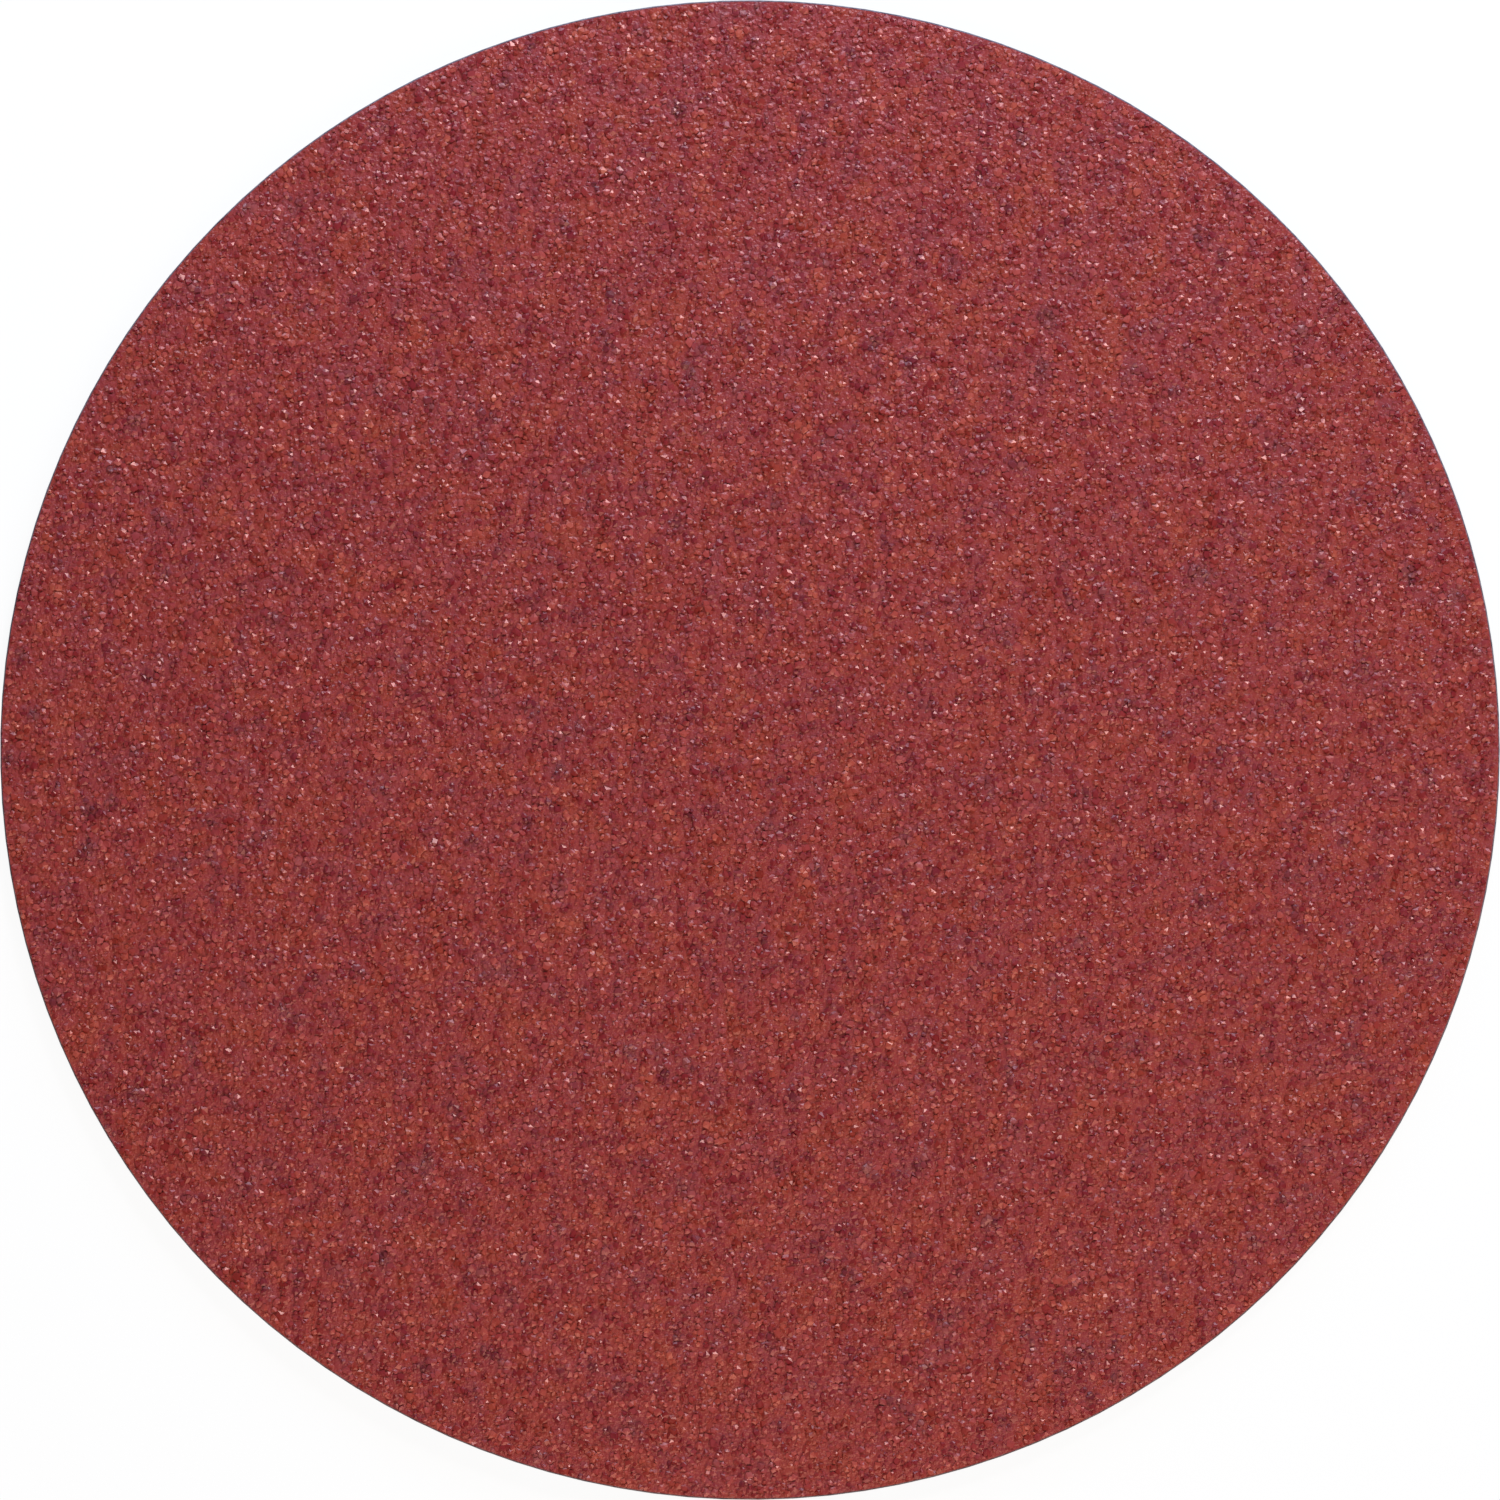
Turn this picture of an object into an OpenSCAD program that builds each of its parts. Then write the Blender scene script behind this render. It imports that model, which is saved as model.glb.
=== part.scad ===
// Hook and loop sanding disc, plain, without dust holes.
// It is a die-cut laminate: grain bonded on heavy paper, and a loop knit glued to the back of the paper.
// The disc lies with its loops down and its grain up. The origin is the centre of the loop face,
// on the surface that the disc lies on, and +Z points out of the grain.

/* [Disc] */
// Diameter that the cutting die gives the paper and the knit
disc_d = 125; // [75:1:150]

/* [Abrasive coat] */
// Flat paper that the die strips of grain, inside the rounded edge of the paper
bare_rim = 0.09; // [0.02:0.01:1]
// Resin under the deepest hollow between the grains
resin_t = 0.15; // [0.05:0.01:0.3]
// Height of the highest grains above the deepest hollow
grain_h = 0.45; // [0.1:0.01:0.8]
// Distance between the corners of the facets that stand for clusters of grain
facet_pitch = 2.1; // [1.6:0.1:4]
// How far a corner strays from its place, as a share of the pitch
facet_stray = 0.3; // [0:0.05:0.4]
// Another number gives another scatter of grain
scatter = 40; // [1:1:500]

/* [Paper backing] */
// Thickness of the paper
paper_t = 0.38; // [0.2:0.01:0.8]
// Edge of the paper that the die rounds over
paper_roll = 0.06; // [0.01:0.01:0.08]

/* [Loop fabric] */
// Thickness of the ground knit, which is glued to the paper
ground_t = 0.45; // [0.2:0.05:1]
// Height of the loop piles that stand on the ground knit
pile_h = 0.65; // [0.2:0.05:1.5]
// Distance from one wale, a row of loops, to the next
wale_pitch = 1.25; // [1:0.05:4]
// Width of the gap between two wales, at the tips of the loops
gap_w = 0.5; // [0.2:0.05:0.7]
// Width of the gap at the ground knit, where the loops stand close
gap_root_w = 0.2; // [0.1:0.05:0.5]

/* [Hidden] */

$fn = 180;
disc_r = disc_d / 2;
pile_z = pile_h;
ground_z = pile_z + ground_t;
paper_z = ground_z + paper_t;
resin_z = paper_z + resin_t;
coat_r = disc_r - paper_roll - bare_rim;

// The facets are laid in rings about the centre, with six more corners in each ring than in the last.
sectors = 6;
// The die crushes the grain on the rim to this share of its height.
rim_share = 0.5;
rings = round(coat_r / facet_pitch);
ring_step = coat_r / rings;

// Number of corners inside a ring, the centre included
function corners_within(ring) = ring == 0 ? 0 : 1 + sectors * ring * (ring - 1) / 2;
// Place of one corner of a ring in the list of corners
function corner(ring, i) = ring == 0 ? 0 : corners_within(ring) + i % (sectors * ring);

corner_count = corners_within(rings + 1);
strays = rands(-facet_stray, facet_stray, corner_count, scatter);
turns = rands(-facet_stray, facet_stray, corner_count, scatter + 1);
draws = rands(0, 1, corner_count, scatter + 2);
lowest = min(draws);
highest = max(draws);

// A corner of the grain face. Those of the outer ring stay on the rim, and stand low.
function face_point(ring, i) =
    let (
        k = corner(ring, i),
        on_rim = ring == rings,
        moves = ring > 0 && !on_rim,
        r = on_rim ? coat_r : ring_step * (ring + (moves ? strays[k] : 0)),
        a = 360 * (i + (moves ? turns[k] : 0)) / (sectors * max(ring, 1)),
        share = (draws[k] - lowest) / (highest - lowest)
    )
    [r * cos(a), r * sin(a), resin_z + grain_h * share * (on_rim ? rim_share : 1)];

// The facets between a ring and the one inside it, in one sector
function sector_facets(ring, s) = [
    for (j = [0:ring - 1])
        [corner(ring, s * ring + j), corner(ring - 1, s * (ring - 1) + j), corner(ring, s * ring + j + 1)],
    if (ring > 1) for (j = [0:ring - 2])
        [
            corner(ring - 1, s * (ring - 1) + j),
            corner(ring - 1, s * (ring - 1) + j + 1),
            corner(ring, s * ring + j + 1)
        ]
];

// Grain and resin: a field of facets on top, a straight wall and a flat bottom on the paper.
// Real grains lie about half a millimetre apart, so each facet stands for a cluster of them.
module abrasive_coat() {
    rim_count = sectors * rings;
    top = [for (ring = [0:rings]) for (i = [0:max(sectors * ring, 1) - 1]) face_point(ring, i)];
    foot = [
        for (i = [0:rim_count - 1])
            let (a = 360 * i / rim_count)
            [coat_r * cos(a), coat_r * sin(a), paper_z]
    ];
    first = len(top);
    facets = [for (ring = [1:rings]) for (s = [0:sectors - 1]) each sector_facets(ring, s)];
    wall = [
        for (i = [0:rim_count - 1])
            each [
                [corner(rings, i), corner(rings, i + 1), first + i],
                [corner(rings, i + 1), first + (i + 1) % rim_count, first + i]
            ]
    ];
    bottom = [[for (i = [0:rim_count - 1]) first + i]];
    color("#8c3d3b")
        polyhedron(points = concat(top, foot), faces = concat(facets, wall, bottom));
}

// Heavy paper, with its upper edge rounded over by the die
module paper_backing() {
    color("#5d5158")
        rotate_extrude()
            polygon([
                [0, ground_z],
                [disc_r, ground_z],
                [disc_r, paper_z - paper_roll],
                [disc_r - paper_roll, paper_z],
                [0, paper_z]
            ]);
}

// Outline of one gap between two wales, seen along the rows
module gap_outline(x) {
    overshoot = 1;
    polygon([
        [x - gap_w / 2, -overshoot],
        [x + gap_w / 2, -overshoot],
        [x + gap_w / 2, 0],
        [x + gap_root_w / 2, pile_z],
        [x - gap_root_w / 2, pile_z],
        [x - gap_w / 2, 0]
    ]);
}

// Loop knit: a ground that is glued to the paper, and wales of loops that stand on it.
// A wale runs through the centre, so the middle of the loop face is a crest.
module loop_fabric() {
    wales_out = floor(disc_r / wale_pitch - 0.5);
    color("#c9c4bd")
        difference() {
            cylinder(h = ground_z, r = disc_r);
            for (side = [-1, 1])
                for (i = [0:wales_out - 1])
                    rotate([90, 0, 0])
                        linear_extrude(height = disc_d, center = true)
                            gap_outline(side * (i + 0.5) * wale_pitch);
        }
}

loop_fabric();
paper_backing();
abrasive_coat();
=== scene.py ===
# %% [markdown]
# # A hook and loop sanding disc
# This lesson dresses a finished CAD model of a sanding disc. The disc is a laminate: grain bonded in
# resin on heavy paper, with a loop knit glued to the back. The CAD model settles the sizes, and the
# script gives each layer its real surface. Everything is in metres, with the loops down and the grain up.

import bpy
import numpy as np
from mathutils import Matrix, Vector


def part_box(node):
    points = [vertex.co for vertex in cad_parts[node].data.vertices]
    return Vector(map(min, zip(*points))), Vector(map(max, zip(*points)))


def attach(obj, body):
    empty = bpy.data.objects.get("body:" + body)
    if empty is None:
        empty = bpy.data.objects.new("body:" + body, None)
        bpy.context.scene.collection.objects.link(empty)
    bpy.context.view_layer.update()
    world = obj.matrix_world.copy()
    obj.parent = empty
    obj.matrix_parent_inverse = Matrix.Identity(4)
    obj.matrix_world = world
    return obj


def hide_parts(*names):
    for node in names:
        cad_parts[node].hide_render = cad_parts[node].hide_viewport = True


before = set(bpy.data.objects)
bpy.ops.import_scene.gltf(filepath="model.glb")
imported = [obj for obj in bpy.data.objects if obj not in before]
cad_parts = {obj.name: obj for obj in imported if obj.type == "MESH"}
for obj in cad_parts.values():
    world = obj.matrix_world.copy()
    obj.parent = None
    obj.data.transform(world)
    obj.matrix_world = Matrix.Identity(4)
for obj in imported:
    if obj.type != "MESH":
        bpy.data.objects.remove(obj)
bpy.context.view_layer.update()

# %% [markdown]
# ## The layers, in metres
# A new piece has to sit exactly where the CAD layer sits, so every height is read from the frame and
# never typed. Sizes that the CAD model doesn't hold, such as the size of a grain, are real sizes in
# millimetres, and one constant turns them to metres.

# %% Read the layers
MM = 0.001

# Only the highest is needed here.
knit_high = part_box("loop_fabric")[1]
paper_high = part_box("paper_backing")[1]
coat_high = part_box("abrasive_coat")[1]

DISC_R = paper_high[0]
COAT_R = coat_high[0]
KNIT_TOP = knit_high[2]
PAPER_TOP = paper_high[2]
COAT_TOP = coat_high[2]
print("disc radius %.2f mm, coat radius %.2f mm" % (DISC_R / MM, COAT_R / MM))
print("layer tops, mm:", [round(z / MM, 2) for z in (KNIT_TOP, PAPER_TOP, COAT_TOP)])

# %% [markdown]
# ## Colours and nodes
# Colours are picked as sRGB hex values, as a paint chart gives them, while a shader works with linear
# light. One function does the change. Another adds any node at all, with its settings and its links.


# %% Helpers for materials
def linear(hex_colour):
    """The linear RGBA of an sRGB hex colour: each channel c is c / 12.92 when dark, and otherwise
    ((c + 0.055) / 1.055) to the power 2.4."""
    channels = np.array([int(hex_colour[i:i + 2], 16) for i in (1, 3, 5)]) / 255
    light = np.where(channels <= 0.04045, channels / 12.92, ((channels + 0.055) / 1.055) ** 2.4)
    return (*light.tolist(), 1.0)


def add(tree, kind, inputs=None, **settings):
    """Adds a node, sets its properties, and gives each named or numbered input a value or a link."""
    made = tree.nodes.new(kind)
    for name, value in settings.items():
        setattr(made, name, value)
    for name, value in (inputs or {}).items():
        if isinstance(value, bpy.types.NodeSocket):
            tree.links.new(value, made.inputs[name])
        else:
            made.inputs[name].default_value = value
    return made


def new_material(name):
    """An empty node tree with an output, and the Object coordinates in millimetres as a vector."""
    material = bpy.data.materials.new(name)
    material.use_nodes = True
    tree = material.node_tree
    tree.nodes.clear()
    out = add(tree, "ShaderNodeOutputMaterial")
    coords = add(tree, "ShaderNodeTexCoord")
    in_mm = add(tree, "ShaderNodeMapping", {"Vector": coords.outputs["Object"], "Scale": (1 / MM,) * 3})
    return material, tree, out, in_mm.outputs["Vector"]


# %% [markdown]
# ## Meshes from arrays
# A mesh is only points and faces. Numpy works them out as whole arrays, and `foreach_set` copies an
# array into Blender in one go, which is hundreds of times faster than a loop over vertices.


# %% Helpers for meshes
def make_piece(name, points, triangles, material, smooth=False, **attributes):
    """Puts an array of points and an array of triangles into a new object at the origin. Each further
    array is stored as a number per point, for the material to read."""
    mesh = bpy.data.meshes.new(name)
    mesh.vertices.add(len(points))
    mesh.vertices.foreach_set("co", np.ascontiguousarray(points, np.float32).ravel())
    mesh.loops.add(triangles.size)
    mesh.loops.foreach_set("vertex_index", triangles.astype(np.int32).ravel())
    mesh.polygons.add(len(triangles))
    mesh.polygons.foreach_set("loop_start", np.arange(0, triangles.size, 3, dtype=np.int32))
    mesh.polygons.foreach_set("use_smooth", np.full(len(triangles), smooth))
    mesh.update(calc_edges=True)
    for key, values in attributes.items():
        layer = mesh.attributes.new(key, "FLOAT", "POINT")
        layer.data.foreach_set("value", np.ascontiguousarray(values, np.float32))
    # Seen from above, a point of the disc has the same place on this map, so a baked picture lies flat.
    half = DISC_R + 1 * MM
    flat = (points[triangles.ravel(), :2] / (2 * half) + 0.5).astype(np.float32)
    mesh.uv_layers.new(name="OFBake").data.foreach_set("uv", flat.ravel())
    piece = bpy.data.objects.new(name, mesh)
    bpy.context.collection.objects.link(piece)
    mesh.materials.append(material)
    print("%s: %d points, %d triangles" % (name, len(points), len(triangles)))
    return piece


def waves(x, y, length, seed, count=28):
    """A soft random field with patches about `length` across: the sum of `count` plane cosine waves of
    nearly that length, in random directions and phases, scaled to a spread of one."""
    rng = np.random.default_rng(seed)
    turn = rng.uniform(0, 2 * np.pi, count)
    size = 2 * np.pi / (length * rng.uniform(0.7, 1.6, count))
    phase = rng.uniform(0, 2 * np.pi, count)
    along = np.outer(x, size * np.cos(turn)) + np.outer(y, size * np.sin(turn)) + phase
    return np.cos(along).sum(1) * np.sqrt(2 / count)


def split_cells(place):
    """Two triangles for each cell of a grid of point numbers."""
    p, q, r, s = place[:-1, :-1], place[1:, :-1], place[1:, 1:], place[:-1, 1:]
    return np.concatenate([np.stack([p, q, r], -1).reshape(-1, 3), np.stack([p, r, s], -1).reshape(-1, 3)])


def repeat_faces(faces, corners, count):
    """The faces of `count` equal shapes of `corners` points each, worked out from those of the first."""
    return (faces[None] + corners * np.arange(count)[:, None, None]).reshape(-1, 3)


# %% [markdown]
# ## Camera
# The picture looks straight down on the grain face, and the disc just touches all four sides of the
# frame. A long lens keeps the rim from showing its wall. The camera's height follows from the lens: the
# half width of the sensor is to the focal length as the half width of the view is to the distance.

# %% Set the camera
IMAGE_SIDE = 1500        # pixels, the frame is square
DISC_RADIUS_PX = 749.9   # from the disc's centre to its outline, in that frame
LENS = 200.0             # mm
SENSOR = 36.0            # mm

camera = bpy.data.cameras.new("camera")
camera.lens = LENS
camera.sensor_width = SENSOR
view_half = DISC_R * IMAGE_SIDE / 2 / DISC_RADIUS_PX
camera_height = PAPER_TOP + view_half * LENS / (SENSOR / 2)
watcher = bpy.data.objects.new("camera", camera)
watcher.location = (0, 0, camera_height)
bpy.context.collection.objects.link(watcher)
bpy.context.scene.camera = watcher
bpy.context.scene.view_settings.view_transform = "Standard"
print("camera %.0f mm above the floor" % (camera_height / MM))

# %% [markdown]
# ## Light, floor and backdrop
# Coarse sandpaper lives by its glints, and a glint is the picture of a lamp in one flat face of a grain.
# A small lamp gives few and bright ones, a large lamp many and weak ones. The key is therefore a small
# panel more than a metre off at the back, which also lights the disc evenly. A cool strip stands low
# beyond the far edge, like the light of a window, so its sheen is strong there and fades towards the near
# edge. A large warm panel in front and a pale sky fill the shadows, so the near side looks matte.
#
# The floor turns up in a cove at its border, so a low view has white behind the disc too. It is white to
# the camera whatever the lamps do, because a Light Path node tells which rays see it directly, and a
# share of plain diffuse keeps the object's shadow.


# %% Set the light
def panel_light(name, place, across, deep, power, colour):
    """A rectangular area light at `place`, turned to face the disc's centre: tilted about X by its angle
    off the vertical, then swung about Z towards its side."""
    panel = bpy.data.lights.new(name, "AREA")
    panel.shape = "RECTANGLE"
    panel.size, panel.size_y = across, deep
    panel.energy = power
    panel.color = linear(colour)[:3]
    lamp = bpy.data.objects.new(name, panel)
    lamp.location = place
    far = np.linalg.norm(place)
    lean = np.arccos(place[2] / far)
    lamp.rotation_euler = (lean, 0, np.arctan2(place[1], place[0]) + np.pi / 2)
    bpy.context.collection.objects.link(lamp)
    print("%s: %.2f m off, %.0f degrees off the vertical" % (name, far, np.degrees(lean)))


SKY_STRENGTH = 0.19
panel_light("key_panel", (0.38, 0.86, 0.81), 0.22, 0.22, power=6.8, colour="#f6f8ff")
panel_light("fill_panel", (0.10, -0.38, 0.36), 0.45, 0.45, power=2.25, colour="#ffeada")
panel_light("sheen_strip", (0.03, 0.17, 0.09), 0.34, 0.07, power=0.58, colour="#b0d4ff")


def seen_directly(tree):
    """One where a ray comes from the camera, a reflection or a clear material, and zero elsewhere."""
    path = add(tree, "ShaderNodeLightPath").outputs
    either = add(tree, "ShaderNodeMath", {0: path["Is Camera Ray"], 1: path["Is Glossy Ray"]},
                 operation="MAXIMUM")
    any_ray = add(tree, "ShaderNodeMath", {0: either.outputs[0], 1: path["Is Transmission Ray"]},
                  operation="MAXIMUM")
    return any_ray.outputs[0]


world = bpy.data.worlds.new("studio")
world.use_nodes = True
world.node_tree.nodes.clear()
sky = add(world.node_tree, "ShaderNodeBackground", {"Color": linear("#ffffff"), "Strength": SKY_STRENGTH})
add(world.node_tree, "ShaderNodeOutputWorld", {"Surface": sky.outputs[0]})
bpy.context.scene.world = world

# %% Lay the floor
FLOOR_FLAT = 1.2         # m, radius of the flat floor
COVE_R = 0.3             # m, radius of the cove that turns the floor's border up
FLOOR_GLOW = 0.92        # share of plain white that the camera sees on the floor

floor_material, tree, out = new_material("matte_white_sweep")[:3]
plain = add(tree, "ShaderNodeBsdfDiffuse", {"Color": linear("#f2f2f2")})
glow = add(tree, "ShaderNodeEmission", {"Color": linear("#ffffff"), "Strength": 1.0})
share = add(tree, "ShaderNodeMath", {0: seen_directly(tree), 1: FLOOR_GLOW}, operation="MULTIPLY")
shown = add(tree, "ShaderNodeMixShader", {0: share.outputs[0], 1: plain.outputs[0], 2: glow.outputs[0]})
tree.links.new(shown.outputs[0], out.inputs["Surface"])


def cove(steps, sides):
    """A floor that turns up at its border. Rings of the profile are swept round, of radius
    flat + R sin(t) and height R (1 - cos(t)) for t from 0 to a right angle, and a fan fills the middle."""
    t = np.linspace(0, np.pi / 2, steps)
    turn = np.arange(sides) * 2 * np.pi / sides
    far = FLOOR_FLAT + COVE_R * np.sin(t)
    rise = COVE_R * (1 - np.cos(t))
    ring_x, ring_y = np.outer(far, np.cos(turn)), np.outer(far, np.sin(turn))
    rings = np.stack([ring_x, ring_y, np.outer(rise, np.ones(sides))], -1)
    place = 1 + np.arange(steps * sides).reshape(steps, sides)
    wall = split_cells(np.column_stack([place, place[:, 0]]))
    middle = np.stack([np.zeros(sides, int), place[0], np.roll(place[0], -1)], 1)
    return np.concatenate([[[0, 0, 0]], rings.reshape(-1, 3)]), np.concatenate([middle, wall])


sweep = make_piece("floor", *cove(steps=12, sides=96), floor_material, smooth=True)

# %% [markdown]
# ## The paper
# The grain is carried by heavy kraft-like paper, and only its die-cut edge and a hair of its face show
# round the grain. The CAD solid already has the right form, with its rounded upper edge, so it keeps its
# mesh and only gets a finish: a dark grey-violet cut with fibres lying in the plane of the sheet.

# %% Finish the paper
PAPER_FIBRE = 0.35       # mm, spacing of the fibre streaks along the edge
PAPER_PLY = 0.05         # mm, thickness of one streak
PAPER_RELIEF = 0.04 * MM  # depth of the streaks
PAPER_TONES = ("#4e424a", "#7d6e73")


def heavy_paper():
    """Matte cellulose: IOR 1.5, rough, in two dark tones that streak along the sheet."""
    material, tree, out, in_mm = new_material("dark_grey_violet_paper")
    stretched = add(tree, "ShaderNodeMapping", {
        "Vector": in_mm,
        "Scale": (1 / PAPER_FIBRE, 1 / PAPER_FIBRE, 1 / PAPER_PLY),
    })
    fibres = add(tree, "ShaderNodeTexNoise", {"Vector": stretched.outputs[0], "Scale": 1.0, "Detail": 3.0})
    tone = add(tree, "ShaderNodeMapRange", {0: fibres.outputs[0], 1: 0.35, 2: 0.65})
    dark, light = (linear(hex_colour) for hex_colour in PAPER_TONES)
    colour = add(tree, "ShaderNodeMix", {0: tone.outputs[0], 6: dark, 7: light}, data_type="RGBA")
    relief = add(tree, "ShaderNodeBump", {
        "Height": fibres.outputs[0],
        "Strength": 0.5,
        "Distance": PAPER_RELIEF,
    })
    surface = add(tree, "ShaderNodeBsdfPrincipled", {
        "Base Color": colour.outputs[2],
        "Roughness": 0.85,
        "IOR": 1.5,
        "Normal": relief.outputs[0],
    })
    tree.links.new(surface.outputs[0], out.inputs["Surface"])
    return material


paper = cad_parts["paper_backing"]
paper.data.materials.clear()
paper.data.materials.append(heavy_paper())

# %% [markdown]
# ## The dyed coat
# The disc isn't one red. The dye of the size coat gathers in some places and thins out in others, so the
# face drifts between plum, crimson, brick red and rust in patches a few millimetres across. A soft random
# field, from 0 to 1 all over the disc, says which hue a place has. The resin and the grains both store it
# per point, so a grain nearly agrees with the resin round it. A second number, the film, says how thin the
# coat lies on one grain: a thin coat is lighter and lets the brown grain show. What gleams under a dyed
# film comes back through the dye, so the highlights are tinted pink, which a plain plastic wouldn't do.

# %% Dye the coat
PATCH = 2.7              # mm, size of the fine patches of one hue
BROAD_PATCH = 2.8        # size of the broad patches, in fine ones
HUE_SWING = 0.52         # how strongly the patches differ in hue
HUES = {0.0: "#6c222d", 0.15: "#86212d", 0.5: "#8d2026", 1.0: "#942c1f"}
FILM_TINT = "#ffcbbc"    # what a gleam from under the dyed film keeps of white light
BARE_GRAIN = "#a58a70"   # brown aluminium oxide without dye
SHOWS_THROUGH = 0.11     # how much of the bare grain shows through the thinnest film
THICK_SHADE = 0.72       # how light the dye is where the film is thickest
THIN_SHADE = 1.22        # and where it is thinnest


def hue_field(x, y):
    """Where a place stands in the row of hues: fine and broad patches, squeezed to 0..1 by a tanh."""
    drift = waves(x, y, PATCH * MM, seed=11) + 0.5 * waves(x, y, BROAD_PATCH * PATCH * MM, seed=12)
    return 0.5 + 0.5 * np.tanh(HUE_SWING * drift)


def dyed_coat(name, shade, roughness, ripple=None, depth=0):
    """Cured phenolic resin, dyed red: IOR 1.6. The hue follows the stored field. Where the stored film is
    thin, near 1, the coat is lighter and the brown grain shows; where it is thick, near 0, the dye is deep.
    A ripple of `ripple` millimetres and `depth` metres is the resin's own skin."""
    material, tree, out, in_mm = new_material(name)
    hue = add(tree, "ShaderNodeAttribute", attribute_name="hue")
    film = add(tree, "ShaderNodeAttribute", attribute_name="film")
    ramp = add(tree, "ShaderNodeValToRGB", {0: hue.outputs["Fac"]})
    while len(ramp.color_ramp.elements) < len(HUES):
        ramp.color_ramp.elements.new(0.5)
    for element, (place, colour) in zip(ramp.color_ramp.elements, HUES.items()):
        element.position, element.color = place, linear(colour)
    bare = add(tree, "ShaderNodeMapRange", {0: film.outputs["Fac"], 3: 0.0, 4: SHOWS_THROUGH})
    seen = add(tree, "ShaderNodeMix", {0: bare.outputs[0], 6: ramp.outputs[0], 7: linear(BARE_GRAIN)},
               data_type="RGBA")
    tone = add(tree, "ShaderNodeMapRange", {
        0: film.outputs["Fac"],
        3: THICK_SHADE * shade,
        4: THIN_SHADE * shade,
    })
    toned = add(tree, "ShaderNodeVectorMath", {0: seen.outputs[2], "Scale": tone.outputs[0]},
                operation="SCALE")
    surface = add(tree, "ShaderNodeBsdfPrincipled", {
        "Base Color": toned.outputs[0],
        "Roughness": roughness,
        "IOR": 1.6,
        "Specular Tint": linear(FILM_TINT),
    })
    if ripple:
        skin = add(tree, "ShaderNodeTexNoise", {"Vector": in_mm, "Scale": 1 / ripple, "Detail": 1.0})
        relief = add(tree, "ShaderNodeBump", {"Height": skin.outputs[0], "Distance": depth})
        tree.links.new(relief.outputs[0], surface.inputs["Normal"])
    tree.links.new(surface.outputs[0], out.inputs["Surface"])
    return material


# %% [markdown]
# ## The resin bed
# Grain is thrown on wet make coat, which climbs a little up each grain, and a thinner size coat is run
# over the whole. Between the grains this shows as a dark, glossy red bed. It is a height over the disc:
# a square grid of two parameters is bent to a circle without bunching up anywhere, and soft waves lift it.

# %% Bend a square grid to a disc
def to_disc(a, b, radius):
    """Sends the square from -1 to 1 onto a disc. The larger of the two parameters becomes the distance
    from the centre, and their ratio, times a quarter turn, becomes the angle."""
    wide = np.abs(a) >= np.abs(b)
    far = np.where(wide, a, b)
    ratio = np.where(wide, b, a) / np.where(far == 0, 1, far)
    turn = np.where(wide, ratio * np.pi / 4, np.pi / 2 - ratio * np.pi / 4)
    return radius * far * np.cos(turn), radius * far * np.sin(turn)


def disc_slab(cells, radius, height, foot):
    """A closed slab. Its top is the bent grid at height(x, y), its wall drops from the grid's border to
    the level `foot`, and its bottom is a fan from one point under the centre."""
    steps = np.linspace(-1, 1, cells + 1)
    a, b = np.meshgrid(steps, steps, indexing="ij")
    x, y = to_disc(a.ravel(), b.ravel(), radius)
    top = np.stack([x, y, height(x, y)], 1)
    place = np.arange((cells + 1) ** 2).reshape(cells + 1, cells + 1)
    skin = split_cells(place)
    border = np.concatenate([place[:-1, 0], place[-1, :-1], place[:0:-1, -1], place[0, :0:-1]])
    low = len(top) + np.arange(len(border))
    after, low_after = np.roll(border, -1), np.roll(low, -1)
    wall = np.concatenate([np.stack([border, low, low_after], 1), np.stack([border, low_after, after], 1)])
    centre = len(top) + len(border)
    base = np.stack([np.full(len(low), centre), low_after, low], 1)
    under = np.concatenate([np.column_stack([top[border, :2], np.full(len(border), foot)]), [[0, 0, foot]]])
    return np.concatenate([top, under]), np.concatenate([skin, wall, base])


# %% Pour the resin
BED_CELLS = 110          # cells along the grid, about 1.1 mm each
BED_DEPTH = 0.28 * MM    # mean level of the resin above the paper
BED_SWELL = 0.04 * MM    # how far the resin rises and falls
MENISCUS = 0.30          # mm, size of the hollows between grains
MENISCUS_DEPTH = 0.15 * MM
EDGE_ANGLE = np.radians(60)    # a sharper bend stays an edge and isn't shaded round


def bed_height(x, y):
    """The mean level of the resin, plus soft waves about a millimetre and a half long."""
    return PAPER_TOP + BED_DEPTH + BED_SWELL * np.clip(waves(x, y, 1.5 * MM, seed=3), -1.5, 1.5)


bed_points, bed_faces = disc_slab(BED_CELLS, COAT_R, bed_height, PAPER_TOP)
bed_finish = dyed_coat("red_phenolic_resin", shade=0.95, roughness=0.4,
                       ripple=MENISCUS, depth=MENISCUS_DEPTH)
resin_bed = make_piece("resin_bed", bed_points, bed_faces, bed_finish, smooth=True,
                       hue=hue_field(bed_points[:, 0], bed_points[:, 1]),
                       film=np.full(len(bed_points), 0.5))
resin_bed.data.set_sharp_from_angle(angle=EDGE_ANGLE)

# %% [markdown]
# ## The grain
# P40 grain is crushed aluminium oxide about 0.43 mm across. It flies up to the wet resin in an electric
# field, so it lands anywhere and stands on end, nearly four grains to a square millimetre. Corundum breaks
# to blocky shapes with a few flat faces. One grain is therefore a foot of three corners, a ring of five and
# a tip, fourteen triangles in all, each corner knocked out of place. Five faces on top give most grains one
# that throws a lamp back as a speck. Tens of thousands of grains cost little in one array.


# %% Shape the grains
LEAN = 0.25              # how much the grains lean; 0 is upright, and 1 favours no direction

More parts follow.
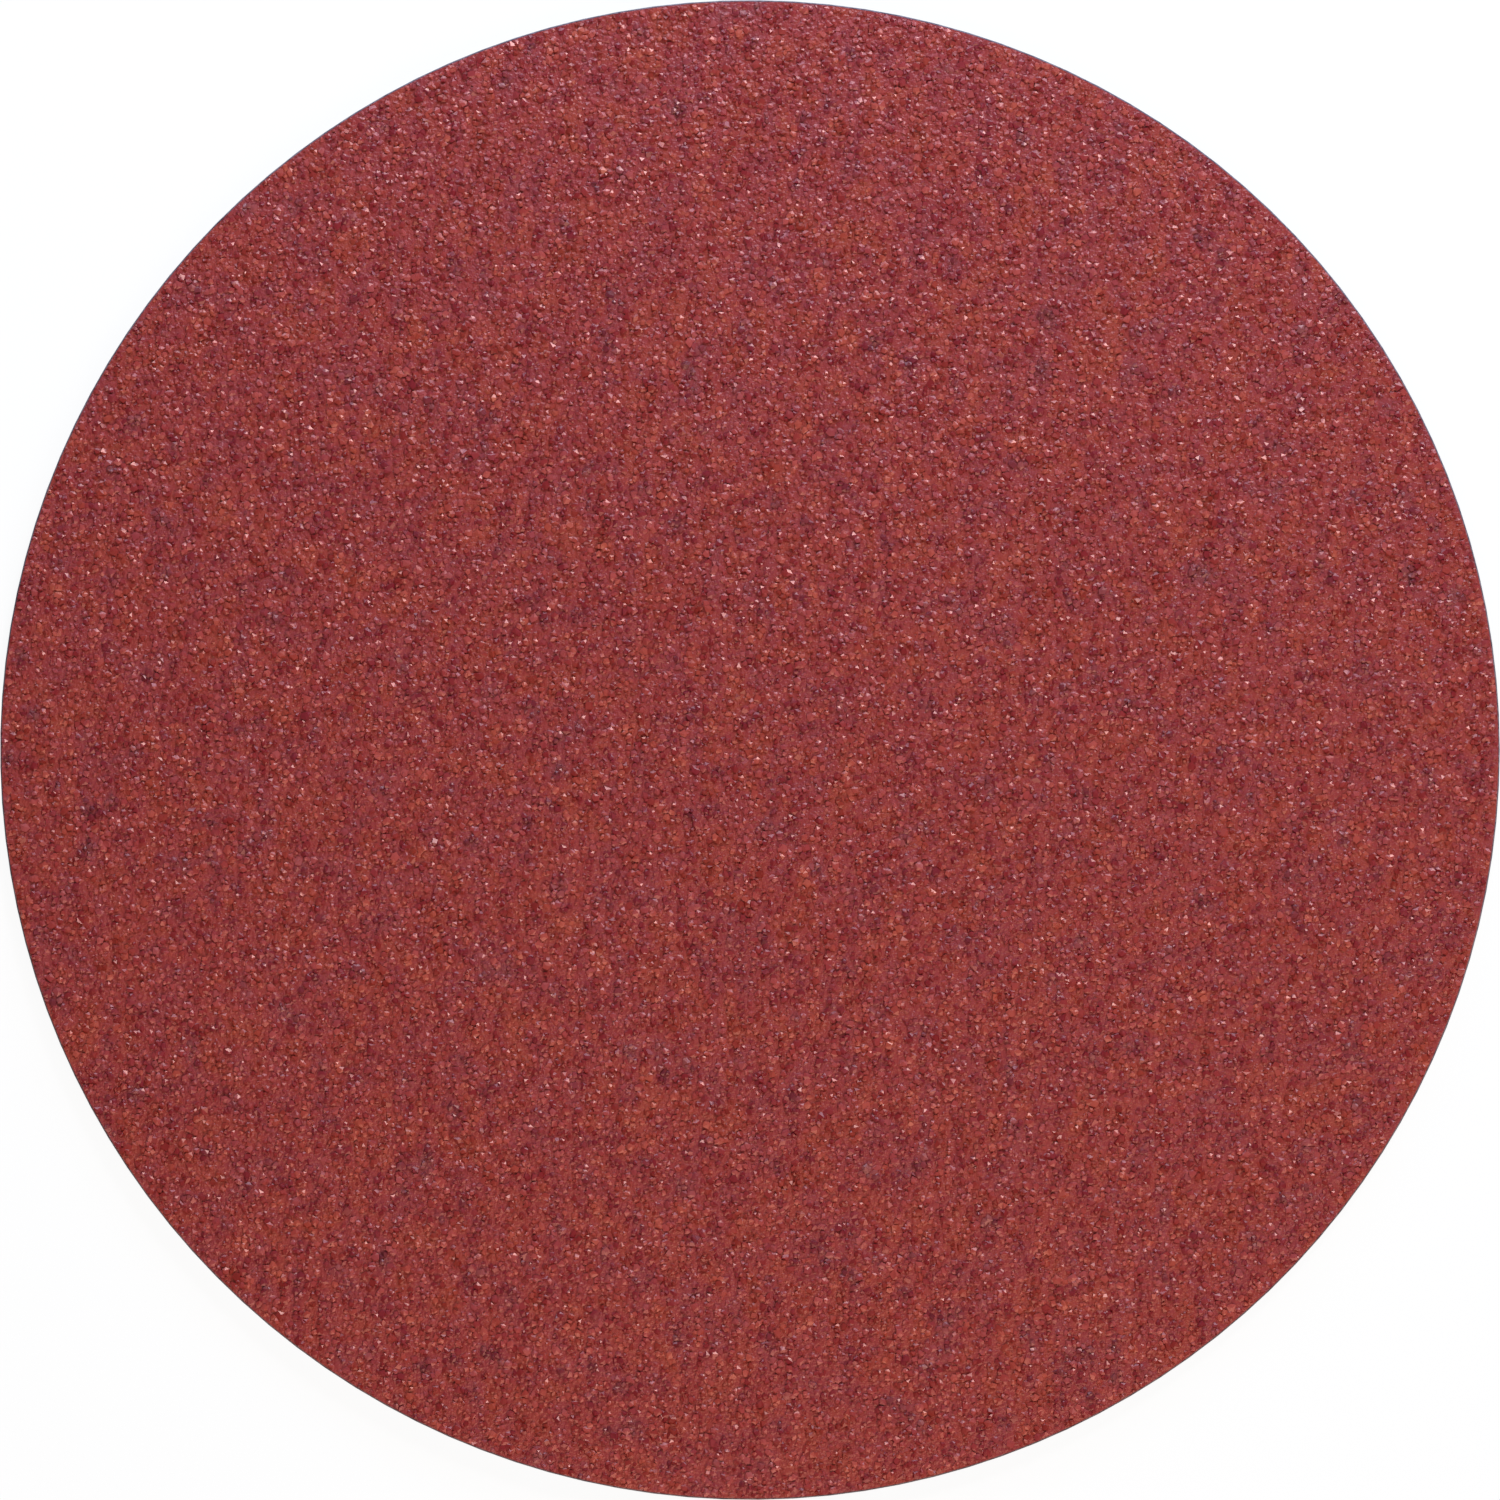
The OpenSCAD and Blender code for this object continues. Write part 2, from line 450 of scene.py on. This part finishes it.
# One grain before its corners stray, in grain sizes: a foot of three corners, a ring of five and a tip.
CORNER_TURN = np.radians([0, 120, 240, 0, 72, 144, 216, 288, 0])
CORNER_REACH = np.array([0.36] * 3 + [0.44] * 5 + [0])
CORNER_LEVEL = np.array([-0.45] * 3 + [0.21] * 5 + [0.38])
CORNERS = len(CORNER_TURN)
TIP_STRAY = 0.15         # how far the tip may lie off the axis


def random_turns(rng, count):
    """Rotation matrices of random quaternions (w, x, y, z). Four normal random numbers, scaled to length
    one, would favour no direction; small x and y leave mostly a spin about the vertical."""
    q = rng.normal(size=(count, 4)) * [1, LEAN, LEAN, 1]
    w, x, y, z = (q / np.linalg.norm(q, axis=1, keepdims=True)).T
    rows = [
        [1 - 2 * (y * y + z * z), 2 * (x * y - w * z), 2 * (x * z + w * y)],
        [2 * (x * y + w * z), 1 - 2 * (x * x + z * z), 2 * (y * z - w * x)],
        [2 * (x * z - w * y), 2 * (y * z + w * x), 1 - 2 * (x * x + y * y)],
    ]
    return np.moveaxis(np.array(rows), 2, 0)


def crystals(rng, count):
    """Corners of `count` grains, as an array (grain, corner, axis). The turn, distance and height of each
    corner vary by a fifth or so."""
    turn = CORNER_TURN + rng.normal(0, 0.16, (count, CORNERS))
    reach = CORNER_REACH * rng.uniform(0.75, 1.2, (count, CORNERS))
    reach[:, -1] = TIP_STRAY * rng.uniform(0, 1, count)
    level = CORNER_LEVEL * rng.uniform(0.75, 1.15, (count, CORNERS))
    return np.stack([reach * np.cos(turn), reach * np.sin(turn), level], -1)


# Foot 0 1 2, ring 3 4 5 6 7, tip 8: one face under the foot, eight round the sides and five on top.
GRAIN_FACES = np.array([
    [0, 2, 1],
    [0, 4, 3], [0, 1, 4], [1, 5, 4], [1, 6, 5], [1, 2, 6], [2, 7, 6], [2, 3, 7], [2, 0, 3],
    [3, 4, 8], [4, 5, 8], [5, 6, 8], [6, 7, 8], [7, 3, 8],
])

# %% [markdown]
# The grains start on a triangular lattice, so no patch is bare, and each then strays by up to half a step.
# That breaks the rows up. A grain stands on its share of make coat, and none rises over the coat's top. The
# die leaves no grain hanging over the rim, so one that would reach past it moves inwards as a whole.

# %% Strew the grains
GRAIN_SIZE = 0.57 * MM   # unit of a grain, which is about 0.5 mm across with its film of resin
GRAIN_SPREAD = 0.22      # spread of the sizes, as a share
SIZE_LIMITS = (-0.6, 0.45)    # natural logarithms of the smallest and the largest size, as shares
GRAIN_PITCH = 0.56 * MM  # from one grain to the next
GRAIN_JITTER = 0.50      # how far a grain strays from its place, as a share of the pitch
GRAIN_LIFT = 0.13 * MM   # most resin under a grain
GRAIN_TALL = 0.40 * MM   # a taller grain is flattened to this height
ROW_RATIO = np.sqrt(0.75)    # from one row of a triangular lattice to the next, as a share of the pitch

rng = np.random.default_rng(40)
rows = int(2 * COAT_R / (GRAIN_PITCH * ROW_RATIO)) + 2
columns = int(2 * COAT_R / GRAIN_PITCH) + 2
i, j = np.meshgrid(np.arange(columns), np.arange(rows), indexing="ij")
x = (i + 0.5 * (j % 2) - columns / 2) * GRAIN_PITCH
y = (j - rows / 2) * GRAIN_PITCH * ROW_RATIO
x, y = (v.ravel() + rng.uniform(-1, 1, v.size) * GRAIN_JITTER * GRAIN_PITCH for v in (x, y))
inside = np.hypot(x, y) < COAT_R - 0.1 * GRAIN_SIZE
x, y = x[inside], y[inside]
count = len(x)

size = GRAIN_SIZE * np.exp(np.clip(rng.normal(0, GRAIN_SPREAD, count), *SIZE_LIMITS))
grains = np.einsum("nij,nkj->nki", random_turns(rng, count), crystals(rng, count)) * size[:, None, None]
tall = np.ptp(grains[:, :, 2], axis=1)
grains[:, :, 2] *= np.minimum(1, GRAIN_TALL / tall)[:, None]
lowest, highest = grains[:, :, 2].min(1), grains[:, :, 2].max(1)
room = COAT_TOP - PAPER_TOP - (highest - lowest)
foot = PAPER_TOP + np.minimum(rng.uniform(0, GRAIN_LIFT, count), room)
grains += np.stack([x, y, foot - lowest], 1)[:, None, :]
reach = np.hypot(grains[:, :, 0], grains[:, :, 1]).max(1)
over = np.maximum(0, reach - COAT_R) / np.hypot(x, y).clip(1 * MM)
grains[:, :, :2] -= (over[:, None] * np.stack([x, y], 1))[:, None]
reach = np.hypot(grains[:, :, 0], grains[:, :, 1])
grains[:, :, :2] *= np.minimum(1, COAT_R / reach)[:, :, None]
print("%d grains, %.2f per square millimetre" % (count, count / (np.pi * (COAT_R / MM) ** 2)))

# %% [markdown]
# The grains are sorted by the hue of their place and cut in four equal pieces, which keeps each piece under
# 200,000 triangles. All four share one finish: crushed aluminium oxide under a film of dyed resin.

# %% Finish the grains
PIECES = ["plum_grain", "crimson_grain", "brick_grain", "rust_grain"]
FLECK = 0.02             # how far one grain's hue strays from that of its place
FINE_FILM = 1.8 * MM     # size of the fine patches of thin film
BROAD_FILM = 5 * MM      # and of the broad ones
GRAIN_ROUGHNESS = 0.295  # smooth enough to glint, and rough enough to spread each glint over a face

grain_finish = dyed_coat("resin_coated_grain", shade=1.0, roughness=GRAIN_ROUGHNESS)
hue = np.clip(hue_field(x, y) + FLECK * rng.normal(size=count), 0, 1)
thinness = 0.32 * waves(x, y, FINE_FILM, seed=13) + 0.10 * waves(x, y, BROAD_FILM, seed=14)
film = np.clip(rng.uniform(0.1, 0.9, count) + thinness, 0, 1)
grain_pieces = []
for name, mine in zip(PIECES, np.array_split(np.argsort(hue), len(PIECES))):
    faces = repeat_faces(GRAIN_FACES, CORNERS, len(mine))
    piece = make_piece(name, grains[mine].reshape(-1, 3), faces, grain_finish,
                       hue=np.repeat(hue[mine], CORNERS), film=np.repeat(film[mine], CORNERS))
    grain_pieces.append(piece)

# %% [markdown]
# ## The ground of the loop knit
# The back is a warp knit of nylon: a ground that is glued to the paper, and loops that are pulled out of it
# and brushed. The ground is a thin slab, the same bent grid as the resin bed but turned over, so that its
# patterned side looks down. Wales, the rows of stitches, run along Y; courses cross them.

# %% Lay the ground knit
WALE = 1.25              # mm, from one row of loops to the next, as in the CAD model
COURSE = 1.3             # mm, from one loop to the next along a row
PILE = 0.65 * MM         # height of the loops under the ground
GROUND_CELLS = 72        # cells along the grid, about 1.7 mm each
GROUND_INSET = 0.02 * MM    # how far the ground stays inside the cut edge of the paper
GROUND_SWELL = 0.02 * MM    # how far its underside rises and falls
FIBRE_CLUMP = 0.45       # mm, size of a clump of fibres
NYLON_RELIEF = 0.22 * MM    # depth of the stitches and clumps
# Dark and light nylon; the dark tone is painted shade in the hollows of the relief.
NYLON_TONE_AND_HOLLOW_SHADE = ("#8f8a83", "#d0cbc3")


def nylon_yarn(name, knitted):
    """Spun nylon: IOR 1.53, rough, with the faint sheen of fibres that stand up. A knitted surface has
    the pattern of its stitches; a single yarn only has a soft change of tone. Both follow the height of
    the relief, so the hollows are painted darker: painted shade."""
    material, tree, out, in_mm = new_material(name)
    clump_relief = add(tree, "ShaderNodeTexNoise", {
        "Vector": in_mm,
        "Scale": 1 / FIBRE_CLUMP,
        "Detail": 4.0,
        "Roughness": 0.65,
    })
    height = clump_relief.outputs[0]
    if knitted:
        stitches = add(tree, "ShaderNodeMapping", {
            "Vector": in_mm,
            "Scale": (2 * np.pi / WALE, 2 * np.pi / COURSE, 1.0),
        })
        wave = add(tree, "ShaderNodeSeparateXYZ", {0: stitches.outputs[0]})
        across = add(tree, "ShaderNodeMath", {0: wave.outputs["X"]}, operation="COSINE")
        along = add(tree, "ShaderNodeMath", {0: wave.outputs["Y"]}, operation="COSINE")
        both = add(tree, "ShaderNodeMath", {0: across.outputs[0], 1: along.outputs[0]}, operation="ADD")
        level = add(tree, "ShaderNodeMapRange", {0: both.outputs[0], 1: -2.0, 2: 2.0})
        mixed = add(tree, "ShaderNodeMath", {0: level.outputs[0], 1: clump_relief.outputs[0]},
                    operation="MULTIPLY")
        height = mixed.outputs[0]
    dark, light = (linear(hex_colour) for hex_colour in NYLON_TONE_AND_HOLLOW_SHADE)
    # The colour follows the height of the relief: its hollows are painted darker, which is painted shade.
    colour = add(tree, "ShaderNodeMix", {0: height, 6: dark, 7: light}, data_type="RGBA")
    relief = add(tree, "ShaderNodeBump", {"Height": height, "Strength": 0.8, "Distance": NYLON_RELIEF})
    surface = add(tree, "ShaderNodeBsdfPrincipled", {
        "Base Color": colour.outputs[2],
        "Roughness": 0.75,
        "IOR": 1.53,
        "Sheen Weight": 0.3,
        "Sheen Roughness": 0.4,
        "Normal": relief.outputs[0],
    })
    tree.links.new(surface.outputs[0], out.inputs["Surface"])
    return material


def ground_depth(x, y):
    """Level of the underside, counted downwards: that of the loops' roots, with soft waves."""
    return -PILE + GROUND_SWELL * np.clip(waves(x, y, 2.5 * MM, seed=7), -1.5, 1.5)


ground_points, ground_faces = disc_slab(GROUND_CELLS, DISC_R - GROUND_INSET, ground_depth, -KNIT_TOP)
ground_points[:, 2] *= -1
knit_ground = make_piece("knit_ground", ground_points, ground_faces[:, ::-1],
                         nylon_yarn("nylon_ground_knit", knitted=True), smooth=True)
knit_ground.data.set_sharp_from_angle(angle=EDGE_ANGLE)

# %% [markdown]
# ## The loops
# Each loop is an arch of yarn with both feet in the ground. An arch is a bent tube, so all arches are
# worked out together: first the line of every yarn, then three corners round each point of the line. The
# lie of a loop is mostly along its wale, and brushing has turned and tipped it. Between the wales stands a
# nap of lower, wider and thinner loops.


# %% Bend yarn into tubes
def tubes(lines, thickness):
    """Closed three-sided tubes along `lines`, an array (tube, point, axis). Corners stand off the line in
    the directions of two vectors square to it, at 0, 120 and 240 degrees, and both ends have a cap."""
    count, steps = lines.shape[:2]
    ahead = np.gradient(lines, axis=1)
    ahead /= np.linalg.norm(ahead, axis=2, keepdims=True)
    chord = lines[:, -1] - lines[:, 0]
    square = np.cross(chord, [0, 0, 1.0])
    square /= np.linalg.norm(square, axis=1, keepdims=True)
    side = np.broadcast_to(square[:, None], lines.shape)
    up = np.cross(side, ahead)
    turn = np.radians([0, 120, 240])[None, None, :, None]
    around = np.cos(turn) * side[:, :, None] + np.sin(turn) * up[:, :, None]
    points = (lines[:, :, None] + thickness / 2 * around).reshape(-1, 3)
    ring = np.arange(3)
    step = 3 * np.arange(steps - 1)[:, None]
    here, after = step + ring, step + (ring + 1) % 3
    skin = np.concatenate([
        np.stack([here, after, after + 3], -1).reshape(-1, 3),
        np.stack([here, after + 3, here + 3], -1).reshape(-1, 3),
        [[0, 2, 1], [3 * steps - 3, 3 * steps - 2, 3 * steps - 1]],
    ])
    return points, repeat_faces(skin, 3 * steps, count)


# %% Raise the loops
YARN = 0.17 * MM         # thickness of the yarn
LOOP_STEPS = 5           # points on the line of a loop
PILE_SPREAD = 0.95 * MM  # from foot to foot of a loop of the pile
NAP_SPREAD = 1.2 * MM    # and of the nap
NAP_SHARE = 0.7          # height and thickness of the nap, as shares of those of the pile
NAP_COURSE = 1.9         # courses from one loop of the nap to the next


def loop_lines(rng, wale, course, height, spread):
    """Lines of loops that stand on a grid of wales and courses. A loop's line is half an ellipse from foot
    to foot, `height` deep and `spread` wide, turned by some tens of degrees and tipped sideways."""
    across, along = int(2 * DISC_R / wale) + 2, int(2 * DISC_R / course) + 2
    i, j = np.meshgrid(np.arange(across) - across // 2, np.arange(along) - along // 2, indexing="ij")
    x = i.ravel() * wale + rng.normal(0, 0.07, i.size) * wale
    y = (j + 0.5 * (i % 2)).ravel() * course + rng.uniform(-0.25, 0.25, i.size) * course
    keep = np.hypot(x, y) < DISC_R - 0.5 * spread
    x, y = x[keep], y[keep]
    turn = np.pi / 2 + rng.normal(0, 0.5, len(x))
    bow = np.linspace(0, np.pi, LOOP_STEPS)
    reach = -np.cos(bow) * spread / 2 * rng.uniform(0.8, 1.15, (len(x), 1))
    deep = np.sin(bow) * height * rng.uniform(0.7, 1.0, (len(x), 1))
    tip = np.sin(bow) * rng.normal(0, 0.3, (len(x), 1)) * height
    line_x = x[:, None] + reach * np.cos(turn)[:, None] - tip * np.sin(turn)[:, None]
    line_y = y[:, None] + reach * np.sin(turn)[:, None] + tip * np.cos(turn)[:, None]
    return np.stack([line_x, line_y, PILE + 0.5 * YARN - deep], -1)


rng = np.random.default_rng(125)
pile_material = nylon_yarn("nylon_pile_yarn", knitted=False)
pile_lines = loop_lines(rng, WALE * MM, COURSE * MM, PILE, PILE_SPREAD)
loop_pile = make_piece("loop_pile", *tubes(pile_lines, YARN), pile_material, smooth=True)
nap_lines = loop_lines(rng, WALE * MM, NAP_COURSE * COURSE * MM, NAP_SHARE * PILE, NAP_SPREAD)
nap_lines += [0.5 * WALE * MM, 0, 0]
nap_lines = nap_lines[np.hypot(nap_lines[:, :, 0], nap_lines[:, :, 1]).max(1) < DISC_R - YARN]
loop_nap = make_piece("loop_nap", *tubes(nap_lines, NAP_SHARE * YARN), pile_material, smooth=True)

# %% [markdown]
# ## The cut edge of the knit
# The die cuts the knit together with the paper, so short ends of filament stand out of its edge.
# Each is a thin needle of four triangles, and its tip is at most a few hundredths of a millimetre out.

# %% Let the cut ends stand out
END_COUNT = 7000
END_LENGTH = 0.35 * MM
END_WIDTH = 0.035 * MM
END_STANDS_OUT = 0.04 * MM
END_SWAY = 0.12          # mm, how far a tip swings to the side or hangs down
END_LOWEST = PILE - 0.25 * MM
END_HIGHEST = KNIT_TOP - 0.06 * MM

around = rng.uniform(0, 2 * np.pi, END_COUNT)
root_r = DISC_R + END_STANDS_OUT * rng.uniform(0, 1, END_COUNT) - END_LENGTH
root_z = rng.uniform(END_LOWEST, END_HIGHEST, END_COUNT)
out_way = np.stack([np.cos(around), np.sin(around), np.zeros(END_COUNT)], 1)
side_way = np.stack([-np.sin(around), np.cos(around), np.zeros(END_COUNT)], 1)
root = out_way * root_r[:, None] + root_z[:, None] * [0, 0, 1]
sway = side_way * rng.normal(0, END_SWAY, (END_COUNT, 1)) * MM
tip = root + out_way * END_LENGTH + sway - rng.uniform(0, END_SWAY, (END_COUNT, 1)) * MM * [0, 0, 1]
needle = np.stack([
    root + END_WIDTH / 2 * side_way,
    root - END_WIDTH / 2 * side_way,
    root + END_WIDTH * np.array([0, 0, 1]),
    tip,
], 1)
needle_faces = np.array([[0, 2, 1], [0, 1, 3], [1, 2, 3], [2, 0, 3]])
end_faces = repeat_faces(needle_faces, 4, END_COUNT)
cut_ends = make_piece("cut_ends", needle.reshape(-1, 3), end_faces, pile_material)

# %% [markdown]
# ## Ride, replace and finish
# Every new piece rides on the disc's one body, and the pieces of a layer stand in for its CAD solid.

# %% Hand the pieces to the frame
layers = {
    ("abrasive_coat", "grain_coat"): [resin_bed] + grain_pieces,
    ("loop_fabric", "loop_knit"): [knit_ground, loop_pile, loop_nap, cut_ends],
}
for (node, slot), pieces in layers.items():
    for piece in pieces:
        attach(piece, "root")
        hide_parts(node)

total = sum(len(piece.data.polygons) for pieces in layers.values() for piece in pieces)
print("%d triangles in all" % total)
